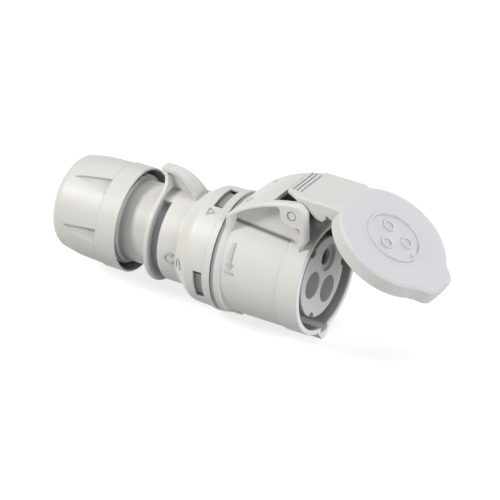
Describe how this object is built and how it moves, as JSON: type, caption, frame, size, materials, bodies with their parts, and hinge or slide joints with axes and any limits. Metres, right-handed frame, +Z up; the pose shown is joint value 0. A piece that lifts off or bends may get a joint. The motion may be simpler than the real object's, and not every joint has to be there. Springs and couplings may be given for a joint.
{
  "type": "twist-lock coupler",
  "caption": "Inline cable socket with a hinged lid, two housing halves locked by a bayonet twist, a thumb hook and a domed gland nut.",
  "frame": {"origin": "centre of the contact insert's front face, on the coupler's axis", "axes": "+X out of the mouth along the axis, +Z up through the lid's hinge, +Y to the left when looking along +X"},
  "size_m": [0.1908, 0.0558, 0.0755],
  "materials": {
    "shell": "moulded light warm grey, fine satin",
    "rear": "moulded light warm grey, fine satin",
    "nut": "moulded light grey, satin",
    "lid": "moulded light cool grey, satin",
    "insert": "moulded light grey",
    "pin": "light grey moulded pin",
    "seal": "soft black rubber",
    "cage": "dark moulded nylon",
    "steel": "zinc plated",
    "brass": "nickel plated brass"
  },
  "bodies": {
    "socket": {"socket_shell": "shell", "contact_insert": "insert", "insert_cover": "insert", "cover_screws": "steel", "terminal_screws": "steel", "clamp_rings": "steel", "housing_seal": "seal", "hinge_pin": "pin", "lid_spring": "steel", "contact_earth": "brass", "contact_line": "brass", "contact_neutral": "brass"},
    "lid": {"lid": "lid", "lid_gasket": "seal"},
    "rear": {"rear_housing": "rear", "clamp_cage": "cage", "gland_seal": "seal"},
    "nut": {"gland_nut": "nut"}
  },
  "joints": [
    {"name": "lid_hinge", "type": "hinge", "parent": "socket", "child": "lid", "pos_m": [-0.0075, 0, 0.0362], "axis": [0, 1, 0], "range_deg": [-30, 57.3]},
    {"name": "housing_twist", "type": "hinge", "parent": "socket", "child": "rear", "pos_m": [-0.0424, 0, 0], "axis": [1, 0, 0], "range_deg": [0, 30]},
    {"name": "nut_turn", "type": "hinge", "parent": "rear", "child": "nut", "pos_m": [-0.11, 0, 0], "axis": [1, 0, 0], "continuous": true}
  ]
}
